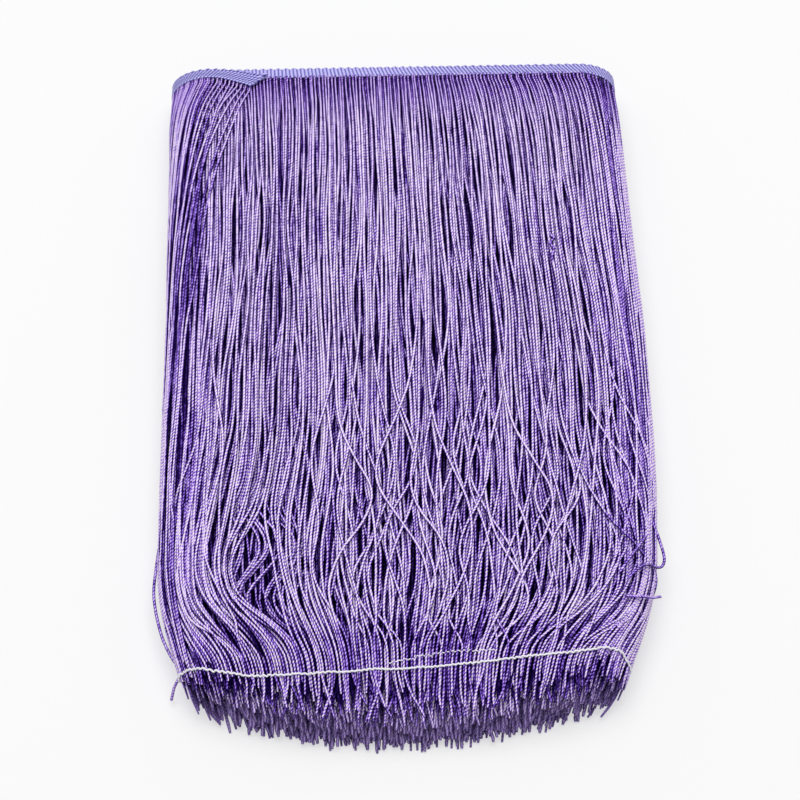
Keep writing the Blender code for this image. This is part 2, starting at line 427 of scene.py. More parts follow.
@dataclass
class PileSurface:
    """How high the pile stands so far over the top and both folds, in narrow lanes and by row."""

    rows: int
    reach: float = 160 * MM
    lane: float = 0.25 * MM
    flatness: float = 0.8
    bare: float = -1.0
    row: Array = field(init=False)
    heights: Array = field(init=False)

    def __post_init__(self) -> None:
        """Starts with nothing laid."""
        self.row = np.arange(self.rows)
        self.heights = np.full((int(2 * self.reach / self.lane) + 1, self.rows), self.bare)

    def _lane(self, arc: Array) -> Array:
        """The lane that each place lies in."""
        return np.clip(((arc + self.reach) / self.lane).astype(int), 0, len(self.heights) - 1)

    def rest(self, arc: Array, radii: Array) -> Array:
        """The lowest height at which a strand's middle clears what lies under it.

        Args:
            arc: The strand's places round the pad, row by row.
            radii: Its radii.

        Returns:
            Its heights.
        """
        need = np.full(self.rows, self.bare)
        for share in (-0.9, -0.6, -0.3, 0.0, 0.3, 0.6, 0.9):
            below = self.heights[self._lane(arc + share * radii), self.row]
            need = np.maximum(need, below + self.flatness * radii * math.sqrt(1 - share * share))
        return need

    def cover(self, arc: Array, height: Array, radii: Array) -> None:
        """Adds a laid strand to the surface.

        Args:
            arc: The strand's places round the pad, row by row.
            height: Its heights.
            radii: Its radii.
        """
        steps = int(np.max(radii) / self.lane) + 1
        for step in range(-steps, steps + 1):
            off = step * self.lane
            dome = height + self.flatness * np.sqrt(np.clip(radii**2 - off**2, 0, None))
            lane = self._lane(arc + off)
            old = self.heights[lane, self.row]
            self.heights[lane, self.row] = np.where(abs(off) < radii, np.maximum(old, dome), old)

    def around(self, arc: Array, reach: float) -> Array:
        """How high the surface stands on average near each place, row by row."""
        steps = np.arange(-reach, reach + self.lane, self.lane * 2)
        return np.mean([self.heights[self._lane(arc + step), self.row] for step in steps], axis=0)


def eased(values: Array, passes: int) -> Array:
    """Values along a strand, smoothed a little at each pass, with the ends kept."""
    for _ in range(passes):
        middle = 0.25 * values[..., :-2] + 0.5 * values[..., 1:-1] + 0.25 * values[..., 2:]
        values = np.concatenate([values[..., :1], middle, values[..., -1:]], -1)
    return values


@dataclass
class Fringe:
    """All the strands: the visible layers, the loose last stretch, and those inside the pile."""

    pad: Pad
    pitch: float = 1.5 * MM
    uneven_pitch: float = 0.26 * MM
    inner_pitch: float = 1.9 * MM
    rows: int = 85
    radius: float = 0.64 * MM
    root_radius: float = 0.46 * MM
    turn_pitch: float = 1.3 * MM
    turns: int = 13
    basting_down: float = 269 * MM
    tips_down: float = 270 * MM
    top_drop: float = 283 * MM
    under_drop_more: float = 6 * MM
    left_drop_less: float = 18 * MM
    right_drop_less: float = 16.5 * MM
    cut_uneven: float = 5.5 * MM
    loose_count: int = 56
    loose_from: float = -0.65
    loose_to: float = 0.145
    wanderers: int = 66
    droop: float = 0.46
    droop_from: float = 267 * MM
    droop_within: float = 24 * MM
    tucked: float = 2.5 * MM
    seed: int = 7
    # The eye's place, in millimetres to the left of the top's middle.
    eye: float = 51.0
    # How far strands sway, in millimetres aside by millimetres down, and the swell's by those round.
    broad_sway: Table = ((8, 50, 110, 180, 232, 264, 275, 290), (0, 1.0, 2.2, 3.0, 3.6, 0.6, 0.6, 2.0))
    middling_sway: Table = ((6, 30, 70, 160, 225, 264, 275, 290), (0, 0.8, 1.1, 1.2, 1.9, 0.3, 0.3, 1.5))
    own_sway: Table = (
        (6, 25, 70, 150, 205, 240, 264, 275, 290),
        (0, 1.0, 1.6, 1.8, 2.7, 3.4, 0.2, 0.3, 1.6),
    )
    loose_sway: Table = ((8, 60, 150, 220, 262, 275, 290), (0, 0.5, 1.3, 2.6, 0.5, 0.5, 2.5))
    swell: Table = ((-130, -95, -75, -50, -20, 0, 25, 50, 75, 95, 130), (2, 0, -6, -6, 0, 1, 3, 6, 6, 0, -2))
    # The same for hidden strands, as shares of a side.
    under_sway: Table = ((5, 60, 230, 266, 290), (0, 0.004, 0.012, 0.002, 0.012))
    inner_sway: Table = ((5, 60, 230, 266, 292), (0, 0.006, 0.014, 0.003, 0.016))
    inner_rows: tuple[float, ...] = (-2.5, 14, 70, 150, 225, 262, 270, 278, 285, 290.5, 292)
    # How high they stand, and the painted shade at their roots under the outermost layer.
    lofty: Table = ((12, 40, 120, 180, 228, 262, 275, 290), (0, 0.7, 0.9, 1.6, 2.4, 0.1, 0.1, 0.3))
    root_shade: Table = ((0, 6, 16, 60), (0.8, 0.6, 0.25, 0.0))
    rng: np.random.Generator = field(init=False)
    surface: PileSurface = field(init=False)
    resting: list[tuple[Strands, Array, Array, Array]] = field(default_factory=list)

    def __post_init__(self) -> None:
        """Seeds the strands' chances, and starts with a bare surface."""
        self.rng = np.random.default_rng(self.seed)
        self.surface = PileSurface(self.rows)
        self.broad = SmoothNoise(self.rng, 34 * MM, 75 * MM)
        self.middling = SmoothNoise(self.rng, 5.5 * MM, 55 * MM)
        self.clumps = SmoothNoise(self.rng, 5 * MM, 60 * MM)
        self.lift = SmoothNoise(self.rng, 9 * MM, 30 * MM)

    def reach(self, station: Array, depth: float) -> Array:
        """How far down strands are cut: the lowest reach furthest and those at the folds least.

        Args:
            station: Each strand's place round the pad.
            depth: How far in from the pad's surface it lies at the heading.

        Returns:
            The cut ends' distances from the heading.
        """
        tips, _ = self.pad.place(np.full(len(station), self.tips_down), station, 0.0, depth)
        left, right, radius, _ = self.pad.section(self.tips_down)
        across = (tips[:, 0] - self.pad.middle_x - (left + right) / 2) / ((right - left) / 2)
        low = self.under_drop_more * (1 - tips[:, 2] / (2 * radius))
        uneven = self.cut_uneven * self.rng.uniform(-1, 1, len(station))
        across = np.clip(across, -1, 1)
        on_left = self.left_drop_less * np.abs(across) ** 2.5
        less = np.where(across < 0, on_left, self.right_drop_less * across**2)
        return self.top_drop + low - less + uneven

    def downs(self, reach: Array) -> Array:
        """The rows' distances down from the heading, a line for each strand, from just inside it."""
        return -self.tucked + np.linspace(0, 1, self.rows) * (reach[:, None] + self.tucked)

    def thickness(self, down: Array) -> Array:
        """The strands' radii: slim at the roots and fuller at the cut ends."""
        grown = rise(2, 34, down) * (1 - 0.1 * rise(150, 220, down))
        slim = self.root_radius + (self.radius - self.root_radius) * grown
        slim = slim * (1 + 0.12 * rise(270, 284, down))
        slim[:, -1] *= 0.7
        return slim

    def drift(self, root: Array, down: Array, layer: int) -> Array:
        """How far strands lie aside of their straight line from heading to cut end.

        Args:
            root: Each strand's place round the pad at the heading, from the middle of the top.
            down: The rows' distances from the heading.
            layer: 0 for the outermost layer, 1 for the next, and so on.

        Returns:
            Shifts round the pad, a line for each strand.
        """
        place = root[:, None] + 0 * down
        mm = down / MM
        shift = np.interp(mm, *self.broad_sway) * self.broad.at(place + 40 * layer * MM, down)
        shift += np.interp(mm, *self.middling_sway) * self.middling.at(place + 90 * layer * MM, down)
        wander = np.interp(mm, *self.own_sway) * (1.6 if layer else 1.0)
        shift += wander * self.own_noise(down, 1.7, 38)
        shift *= MM * (1 - 0.8 * smooth_step(76, 100, np.abs(place) / MM))
        lean = smooth_step(-15, 62, place / MM) * (1 - smooth_step(84, 100, place / MM))
        shift += 5.0 * MM * lean * (1 - np.exp(-np.maximum(down, 0) / (13 * MM)))
        swell = rise(165, 228, down) * (1 - rise(238, 266, down))
        shift += swell * np.interp(place / MM, *self.swell) * MM
        gather = np.exp(-(((down - self.basting_down) / (20 * MM)) ** 2))
        shift -= gather * place * (0.10 if layer == 0 else 0.05)
        if layer == 0:
            shift += self.parting(place, down)
        elif layer == 1:
            near = np.exp(-(((place / MM + self.eye) / 11) ** 2)) * smooth_step(190, 212, mm)
            shift -= 7.5 * MM * near * (1 - smooth_step(252, 264, mm)) * np.sin((mm - 232) / 7.5)
        tips = rise(270, 290, down)
        shift += tips * self.rng.normal(0, 2.7 * MM, (len(root), 1))
        shift += tips * 4.2 * MM * self.clumps.at(place + 200 * layer * MM, down * 0.3)
        shift += rise(278, 290, down) * self.rng.normal(0, 1.6 * MM, (len(root), 1))
        return shift

    def parting(self, place: Array, down: Array) -> Array:
        """How the strands stand apart round the eye-shaped opening at the lower left."""
        opened = rise(200, 233, down) * (1 - rise(237, 260, down))
        aside = (place + self.eye * MM) / (8 * MM)
        return opened * 8.5 * MM * np.sign(aside) * np.exp(-np.abs(aside) ** 1.3)

    def loft(self, place: Array, down: Array, layer: int) -> Array:
        """How far strands stand proud of the close-packed pile, where nothing holds them down.

        Args:
            place: The rows' places round the pad, a line for each strand.
            down: Their distances from the heading.
            layer: 0 for the outermost layer, 1 for the next, and so on.

        Returns:
            Heights.
        """
        most = np.interp(down / MM, *self.lofty)
        share = 0.5 + 0.5 * self.lift.at(place + 60 * layer * MM, down)
        flat = 1 - 0.95 * rise(70, 98, np.abs(place))
        return most * share * flat * MM / (1 + layer)

    def lay(self, station: Array, layer: int, order: Sequence[int]) -> Strands:
        """Lays one layer of strands over the top and both folds.

        Args:
            station: Each strand's place round the heading.
            layer: 0 for the outermost layer, 1 for the next, and so on.
            order: The order that the strands are laid in. The later ones lie on the earlier.

        Returns:
            The strands.
        """
        down = self.downs(self.reach(station, (layer + 0.5) * self.turn_pitch))
        arc = self.pad.arc(down, station[:, None])
        root = arc[:, 0]
        arc = arc + self.drift(root, down, layer)
        if layer == 0:
            free = [i for i in order if abs(root[i] / MM + self.eye) > 22 and abs(root[i]) < 84 * MM]
            order = [i for i in order if i not in free[-self.wanderers :]] + free[-self.wanderers :]
            arc += self.strays(order[-self.wanderers :], down)
        filled = rise(10, 70, down)
        base = -(layer * (1 - 0.62 * filled) + 0.45) * self.turn_pitch + self.loft(arc, down, layer)
        folded = rise(78, 94, np.abs(arc))
        slack = smooth_step(-0.1, 0.25, self.own_noise(down, 1.2, 45))
        base -= folded * MM * (0.9 * layer + 1.3 * slack)
        roofed = rise(52, 62, -arc) * (1 - rise(40, 110, down))
        base -= 1.2 * MM * rise(78, 90, -arc) * rise(0, 30, down)
        base -= 0.5 * MM * roofed
        pressed = rise(247, 260, down) * (1 - rise(274, 288, down))
        pressed *= 1 - 0.5 * rise(50, 80, arc)
        base -= MM * slack * pressed
        radii = self.thickness(down) * (1 - 0.12 * pressed)
        # Painted shade that strands get in any case: at their roots under the tape, in the lower layers,
        # under the loose end, round the basting, on slack strands in the folds and at the cut ends.
        least = 0.3 * (1 - rise(1, 14, down)) + 0.2 * layer
        least += 0.05 * roofed * (layer == 0) + (0.10 + 0.40 * slack + 0.3 * (layer > 0)) * pressed
        least += (0.42 + 0.12 * (arc < 0)) * folded * slack + 0.08 * rise(274, 286, down)
        if layer:
            least = np.maximum(least, np.interp(down / MM, *self.root_shade))
        return self.piled(order, arc, down, base, radii, least)

    def own_noise(self, down: Array, apart: float, patch: float) -> Array:
        """Slow noise along each strand, a little like its neighbours'.

        Args:
            down: The rows' distances from the heading, a line for each strand.
            apart: How little each strand takes after its neighbours.
            patch: The length of the noise's patches, in millimetres.

        Returns:
            Values from -1 to 1.
        """
        own = SmoothNoise(self.rng, 1.0, patch * MM)
        return own.at(np.arange(len(down))[:, None] * apart + 0 * down, down)

    def piled(
        self, order: Sequence[int], arc: Array, down: Array, base: Array, radii: Array, least: Array
    ) -> Strands:
        """Lays strands on the pile one by one, and notes them for the thread and for their shading.

        Args:
            order: The order that they are laid in.
            arc: The rows' places round the pad, a line for each strand.
            down: Their distances from the heading.
            base: The heights that they have where they cross nothing.
            radii: Their radii.
            least: How much painted shade they get in any case.

        Returns:
            The strands, kept from slipping under the pile.
        """
        height = np.empty_like(arc)
        for i in order:
            height[i] = self.settle(arc[i], base[i], radii[i], down[i])
            self.surface.cover(arc[i], height[i], radii[i])
        station = np.clip(self.pad.station(down, arc), -0.97, 1.97)
        points, outs = self.pad.place(down, station, height)
        strands = Strands(self.drooped(points, down, radii), outs, radii, least)
        self.resting.append((strands, arc, down, height))
        return strands

    def shade(self) -> None:
        """Paints shade on every resting strand by how far it lies under its neighbours."""
        for strands, arc, _, height in self.resting:
            near = np.stack([self.surface.around(line, 3.5 * MM) for line in arc])
            hidden = eased((near - height - 0.8 * strands.radii) / (2.2 * MM), 4)
            strands.painted_shade = np.maximum(strands.painted_shade, np.clip(hidden, 0, 1))

    def drooped(self, points: Array, down: Array, radii: Array) -> Array:
        """Lets the strands' ends hang down past the basting, so that the pile thins out there.

        Args:
            points: The strands' points, which are moved.
            down: Their distances from the heading.
            radii: Their radii.

        Returns:
            The points.
        """
        past = np.clip((down - self.droop_from) / self.droop_within, 0, 1.2)
        share = self.droop * past**1.6 * self.rng.uniform(0.7, 1.25, (len(down), 1))
        points[..., 2] -= (points[..., 2] - radii * 0.8) * np.clip(share, 0, 0.9)
        points[..., 2] = np.maximum(points[..., 2], radii)
        return points

    def strays(self, chosen: Sequence[int], down: Array) -> Array:
        """The wide bends of the few strands that wander right across their neighbours.

        Args:
            chosen: Their numbers.
            down: All strands' distances from the heading, a line for each strand.

        Returns:
            Shifts round the pad, a line for each strand.
        """
        bends = np.zeros_like(down)
        for i in chosen:
            for _ in range(2):
                middle = self.rng.uniform(178, 246) * MM
                size = self.rng.uniform(3, 11) * MM * self.rng.choice([-1, 1])
                width = self.rng.uniform(16, 38) * MM
                bends[i] += size * np.exp(-(((down[i] - middle) / width) ** 2))
            bends[i] *= 1 - rise(250, 264, down[i])
        return bends

    def settle(self, arc: Array, base: Array, radii: Array, down: Array) -> Array:
        """A strand's heights: at its base, or resting on what it crosses, smoothed along it.

        Args:
            arc: Its places round the pad, row by row.
            base: The heights that it has where it crosses nothing.
            radii: Its radii.
            down: Its distances from the heading.

        Returns:
            Its heights.
        """
        need = np.maximum(base, self.surface.rest(arc, radii))
        raised = np.maximum(need, np.maximum(np.roll(need, 1), np.roll(need, -1)) - 0.3 * MM)
        lifted = np.maximum(eased(raised, 2), base)
        lid = base + np.interp(np.abs(arc) / MM, (70, 86), (6.0, 0.15)) * MM
        return np.where(down < 12 * MM, base, np.minimum(lifted, lid))

    def layers(self) -> list[Strands]:
        """The three outer layers, from the third up to the outermost, all seen through its gaps."""
        made = []
        run, radius = self.pad.run(0.0)
        count = int((run + 2 * math.pi * radius) / self.pitch)
        for layer in (2, 1, 0):
            arc = (np.arange(count) - (count - 1) / 2) * self.pitch
            arc += (0.5 * layer) * self.pitch + self.rng.normal(0, self.uneven_pitch, count)
            station = self.pad.station(np.zeros(count), arc)
            made.append(self.lay(station, layer, list(self.rng.permutation(count))))
        return made

    def loose_layer(self, tape: "HeadingTape") -> Strands:
        """The last stretch of fringe, which hangs from the loose end and swings over to the left fold.

        Args:
            tape: The heading tape, whose loose end leans over.

        Returns:
            The strands.
        """
        count = self.loose_count
        share = (np.arange(count) + 0.5) / count
        root = self.loose_from + (self.loose_to - self.loose_from) * share
        ends = (-140 + 43 * share + self.rng.normal(0, 2.4, count)) * MM
        down = self.downs(self.reach(self.pad.station(self.tips_down, ends * 0.85), 0.0))
        aside, leant, _ = tape.end_sway(4 * tape.turns + root)
        starts = leant[:, None]
        down += starts * (1 - rise(0, 60, down))
        first = self.pad.arc(np.zeros(count), root) + aside
        swing = self.rng.uniform(58, 84, count)[:, None] * MM
        moved = 1 - np.exp(-np.maximum(down - starts, 0) / swing)
        arc = first[:, None] + (ends - first)[:, None] * moved
        arc *= self.pad.arc(down, np.full_like(down, -0.5)) / self.pad.arc(0.0, np.float64(-0.5))
        arc += np.interp(down / MM, *self.loose_sway) * MM * self.own_noise(down, 1.7, 30)
        sunk = 1.1 * MM * smooth_step(-0.05, 0.25, self.own_noise(down, 1.7, 45))
        slack = smooth_step(-0.2, 0.2, self.own_noise(down, 2.9, 45))
        folded = slack * rise(74, 86, -arc) * (1 - rise(120, 160, down))
        base = 0.2 * MM - sunk * rise(15, 60, down) - 0.6 * MM * folded
        # Painted shade on the sunk strands, and on the slack ones in the left fold.
        least = 0.36 * sunk / MM * rise(15, 60, down) + 0.55 * folded
        return self.piled(self.rng.permutation(count), arc, down, base, self.thickness(down), least)

    def lower_layer(self) -> Strands:
        """The outermost layer's strands on the underside, which the pile rests on."""
        count = int(160 * MM / self.pitch)
        station = Side.UNDER + (np.arange(count) + 0.5) / count
        down = self.downs(self.reach(station, 0.5 * self.turn_pitch))[:, ::3]
        wander = np.interp(down / MM, *self.under_sway) * self.own_noise(down, 0.6, 40)
        station = station[:, None] + wander
        radii = self.thickness(down)
        points, outs = self.pad.place(down, station, -0.95 * radii)
        # Painted shade, for lying under the pile.
        return Strands(points, outs, radii, np.full_like(radii, 0.2))

    def inner_layers(self) -> Strands:
        """The strands inside the pile, each at its full length, from the second turn inwards."""
        lines = [self.inner_turn(turn) for turn in range(1, self.turns)]
        return lines[0].joined(*lines[1:])

    def inner_turn(self, turn: int) -> Strands:
        """One turn's strands inside the pile.

        Args:
            turn: The turn's number, with 0 for the outermost.

        Returns:
            The strands.
        """
        depth = (turn + 0.5) * self.turn_pitch
        run, radius = self.pad.run(0.0)
        flat = int(run / self.inner_pitch)
        folded = max(1, int(math.pi * (radius - depth) / self.inner_pitch))
        sides = ((Side.UNDER, flat), (Side.TOP, flat), (Side.RIGHT_FOLD, folded), (Side.LEFT_FOLD, folded))
        hidden = sides if turn > 2 else sides[:1]
        station = np.concatenate([(np.arange(count) + 0.5) / count + side for side, count in hidden])
        down = self.reach(station, depth)[:, None] * (np.array(self.inner_rows) / self.inner_rows[-1])
        own = SmoothNoise(self.rng, 1.0, 45 * MM)
        number = np.arange(len(station))[:, None] * 0.9 + 0 * down
        splay = 0.017 * rise(264, 292, down) * self.rng.normal(0, 1, (len(station), 1))
        splay += 0.012 * rise(278, 292, down) * self.rng.normal(0, 1, (len(station), 1))
        wander = np.interp(down / MM, *self.inner_sway) * own.at(number, down)
        lift = 0.7 * MM * own.at(number + 40, down) * rise(5, 60, down)
        radii = self.thickness(down)
        points, outs = self.pad.place(down, station[:, None] + wander + splay, lift, depth)
        points = self.drooped(points, down, radii)
        points[..., 2] = np.maximum(points[..., 2], (1.6 + 0.6 * turn) * self.radius)
        # Painted shade inside the pile, which fades towards the cut ends.
        return Strands(points, outs, radii, 0.7 - 0.68 * rise(262, 280, down))


@dataclass
class StrayStrands:
    """The few strands that have worked loose, at the pile's sides and in a snag at its upper right.

    The courses' places are in millimetres: along X, down from the heading and up.
    """

    root_y: float
    radius: float = 0.6 * MM
    rows: int = 64
    shade: float = 0.4
    courses: tuple[tuple[Triple, ...], ...] = (
        (
            (74.0, 201.8, 35.0), (78.4, 211.0, 37.0), (83.3, 216.4, 36.5), (88.0, 220.2, 34.0),
            (90.9, 222.3, 30.0), (96.1, 226.3, 23.0), (98.2, 229.8, 18.5), (97.3, 234.1, 16.5),
            (95.0, 238.8, 16.0), (92.7, 241.3, 17.0),
        ),
        (
            (88.8, 196.0, 30.0), (95.0, 202.9, 27.0), (97.5, 206.9, 22.0), (99.7, 212.1, 20.0),
            (101.8, 219.4, 18.0), (101.9, 222.6, 18.0), (100.4, 226.0, 19.0), (97.1, 227.2, 23.0),
            (94.2, 227.5, 28.0), (90.0, 230.8, 34.0), (85.0, 236.1, 34.0),
        ),
        (
            (100.2, 200.0, 16.0), (97.4, 208.6, 22.0), (92.4, 218.5, 30.0), (86.3, 227.6, 35.5),
            (81.6, 234.0, 35.0),
        ),
        (
            (83.4, 243.0, 33.0), (92.2, 241.5, 28.0), (95.4, 240.3, 23.5), (99.0, 238.4, 20.0),
        ),
        (
            (76.8, 270.0, 22.0), (82.3, 266.4, 23.0), (84.4, 266.5, 21.5), (84.0, 268.7, 19.0),
        ),
        (
            (-85.0, 259.0, 20.0), (-90.5, 265.1, 14.0), (-93.4, 268.2, 8.0), (-94.8, 271.6, 3.0),
        ),
        (
            (-99.6, 206.0, 14.0), (-100.8, 216.2, 14.0), (-102.2, 229.6, 13.0), (-100.7, 239.4, 13.0),
            (-98.1, 249.2, 13.0), (-94.2, 257.6, 13.0), (-88.0, 266.0, 14.0),
        ),
        (
            (61.6, 81.5, 37.6), (62.2, 83.5, 39.8), (63.8, 85.0, 40.4), (61.2, 87.5, 40.3),
            (63.4, 90.0, 40.2), (62.0, 93.5, 39.4), (62.6, 97.0, 37.4),
        ),
    )

    def strands(self) -> Strands:
        """The stray strands, each smoothed through its places."""
        lines = []
        for bends in self.courses:
            table = np.array(bends) * MM
            place = np.linspace(0, len(bends) - 1, self.rows)
            x, down, up = (eased(np.interp(place, np.arange(len(bends)), part), 16) for part in table.T)
            lines.append(np.stack([x, self.root_y - down, up], -1))
        points = np.stack(lines)
        radii = np.full(points.shape[:2], self.radius)
        radii[:, -1] *= 0.5
        outs = np.zeros_like(points)
        outs[..., 2] = 1.0
        return Strands(points, outs, radii, np.full_like(radii, self.shade))


@dataclass
class HeadingTape:
    """The ribbed tape, wound into a flat coil that steps outwards on the left fold at each turn.

    A place along it is a count of sides from the coil's inner end, four to a turn.
    """

    pad: Pad
    width: float = 8.2 * MM
    raised: float = 1.7 * MM
    thick: float = 1.0 * MM
    turn_pitch: float = 1.3 * MM
    turns: int = 13
    top_drop: float = 4.2 * MM
    rib_pitch: float = 1.65 * MM
    rib_height: float = 0.26 * MM
    cords: int = 6
    cord_height: float = 0.16 * MM
    scallop_pitch: float = 3.5 * MM
    scallop: float = 0.8 * MM
    end_station: float = 0.1484
    end_turn: float = math.radians(27)
    end_slant: float = 2.4 * MM
    end_back: float = 1.5 * MM
    end_curl: float = 0.7 * MM
    step_over: float = 0.2 * MM
    relief_sunk: float = 0.28 * MM
    hem_sunk: float = 0.3 * MM
    map_rows: int = 24
    ribs_lean: Table = ((-1, 0, 0.3, 0.6, 1, 2, 3, 3.8, 4.2), (0, 0, 0.1, 0.3, 0.42, 0.2, 0, -0.4, -0.5))

    def end_sway(self, sides: Array) -> tuple[Array, Array, Array]:
        """How the loose end swings round towards the fringe.

        Args:
            sides: Places along the tape.

        Returns:
            Its fringed edge's shifts along the heading and down from it, and its turn.
        """
        share = np.linspace(-0.15, 1.0, 60)
        turn = self.end_turn * smooth_step(-0.15, 0.8, share)
        step = (share[1] - share[0]) * self.end_station * 160 * MM
        back = self.width / 2 * np.sin(turn)
        aside = np.cumsum(np.cos(turn) - 1) * step - back - self.end_back * share.clip(0, 1)
        down = np.cumsum(np.sin(turn)) * step - self.width / 2 * (1 - np.cos(turn))
        ended = (sides - 4 * self.turns) / self.end_station
        return tuple(np.interp(ended, share, part) for part in (aside, down, turn))

    def slope(self, sides: Array) -> Array:
        """How far the ribs lean aside of straight across, as the tape is pulled out of square."""
        return np.interp(sides - 4 * (self.turns - 1), *self.ribs_lean)

    def route(self, start: float, stop: float, spacing: float) -> tuple[Array, Array, Array]:
        """The tape's way round the coil, in even steps.

        Args:
            start: Where it starts.
            stop: Where it stops.
            spacing: The length of a step.

        Returns:
            The count of sides, the depth from the coil's outside, and the length along, at each step.
        """
        sides = np.linspace(start, stop, int((stop - start) * 400) + 2)
        points, _ = self.pad.place(0.0, sides, -self.depth(sides))
        along = np.concatenate([[0], np.cumsum(np.linalg.norm(np.diff(points, axis=0), axis=1))])
        even = np.linspace(0, along[-1], int(along[-1] / spacing) + 1)
        sides = np.interp(even, along, sides)
        return sides, self.depth(sides), even

    def depth(self, sides: Array) -> Array:
        """How far in the coil the tape's middle lies. It steps outwards over each left fold."""
        turn = np.minimum(np.floor(sides / 4), self.turns)
        stepped = np.clip(sides - 4 * turn - 3, 0, 1)
        depth = self.thick / 2 + (self.turns - 1 - turn) * self.turn_pitch - stepped * self.turn_pitch
        last = 4 * (self.turns - 1)
        pressed = self.step_over * np.clip(1 - np.abs(sides - last) / 0.2, 0, 1)
        return depth + pressed

    def build(self, name: str, start: float, stop: float, spacing: float, fine: int) -> bpy.types.Object:
        """Makes one stretch of the tape.

        Args:
            name: The piece's name.
            start: Where it starts.
            stop: Where it stops.
            spacing: The length of a step along it.
            fine: How many steps its outer face has across.

        Returns:
            The new mesh object.
        """
        sides, depth, along = self.route(start, stop, spacing)
        ended = np.clip((sides - 4 * self.turns) / self.end_station, 0, 1)
        coarse = max(2, fine // 2)
        across = np.concatenate([np.linspace(0, 1, fine + 1), np.linspace(1, 0, coarse + 1)])
        outside = np.concatenate([np.ones(fine + 1), -np.ones(coarse + 1)])
        sheared = along[:, None] + self.slope(sides)[:, None] * self.width * across[None, :]
        rib = np.abs(np.sin(math.pi * sheared / self.rib_pitch))
        cord = np.abs(np.sin(math.pi * across * self.cords))[None, :] * self.nubby(sides)[:, None]
        edge = np.where((across < 0.02) | (across > 0.98), self.hem_sunk, 0.0)[None, :]
        relief = self.rib_height * rib + self.cord_height * cord - self.relief_sunk - edge
        lift = outside[None, :] * (self.thick / 2 + relief)
        wave = self.scallop * np.abs(np.sin(math.pi * sheared / self.scallop_pitch)) ** 1.1
        stick = wave * smooth_step(0.8, 1.0, across)[None, :]
        level, _ = self.pad.place(0.0, sides, -depth)
        drop = self.top_drop * level[:, 2] / (2 * self.pad.head_radius) * (1 - ended**2)
        level_width = np.sqrt(self.width**2 - drop**2)
        aside, lean, turn = self.end_sway(sides)
        slant = self.end_slant * smooth_step(0.9, 1.0, ended)
        curl = self.end_curl * smooth_step(0.5, 1.0, ended)
        down = lean[:, None] - across[None, :] * (level_width * np.cos(turn))[:, None] - stick - self.raised
        height = -depth[:, None] + lift + curl[:, None]
        points, _ = self.pad.place(down, sides[:, None] + 0 * down, height)
        points[..., 2] -= across[None, :] * drop[:, None]
        points[..., 0] += aside[:, None] + across[None, :] * (level_width * np.sin(turn))[:, None]
        points[..., 0] += slant[:, None] * (2 * across[None, :] - 1)
        points[..., 2] = np.maximum(points[..., 2], 0.0)
        return self._mesh(name, points, sheared, across, self.nubby(sides))

    def nubby(self, sides: Array) -> Array:
        """How strong the relief is: most at the loose end, less on the top's right, least elsewhere."""
        over = sides - 4 * (self.turns - 1)
        taut = smooth_step(0.35, 0.75, over) * (1 - smooth_step(1.7, 2.0, over))
        return 0.2 + 0.8 * smooth_step(3.1, 3.7, over) + 0.55 * taut

    def _mesh(
        self, name: str, points: Array, sheared: Array, across: Array, nubby: Array
    ) -> bpy.types.Object:
        """One closed mesh through rings of points, with maps along and across it.

        Args:
            name: The piece's name.
            points: Its points, ring by ring.
            sheared: Their places along the weave.
            across: A ring's places across the tape, from 0 to 1.
            nubby: How strong the relief is at each ring.

        Returns:
            The new mesh object.
        """
        count, sides = points.shape[:2]
        quads = ring_walls(np.zeros(1, int), count, sides).tolist()
        ends = [list(range(sides))[::-1], list(range((count - 1) * sides, count * sides))]
        mesh = bpy.data.meshes.new(name)
        mesh.from_pydata(points.reshape(-1, 3).tolist(), [], quads + ends)
        mesh.polygons.foreach_set("use_smooth", [True] * len(quads) + [False, False])
        index = np.empty(len(mesh.loops), int)
        mesh.loops.foreach_get("vertex_index", index)
        lay_map(mesh, "weave", sheared.ravel()[index] / MM, across[index % sides] * self.width / MM)
        along = sheared[:, 0]
        length = along[-1] / self.map_rows
        row = np.minimum(along[index // sides] // length, self.map_rows - 1)
        u = along[index // sides] / length - row
        v = (row + 0.06 + 0.88 * ((index % sides) / (sides - 1))) / self.map_rows
        lay_map(mesh, "OFBake", 0.01 + 0.98 * u, v)
        store(mesh, "nubby", np.repeat(nubby, sides))
        mesh.validate()
        return placed(name, mesh)


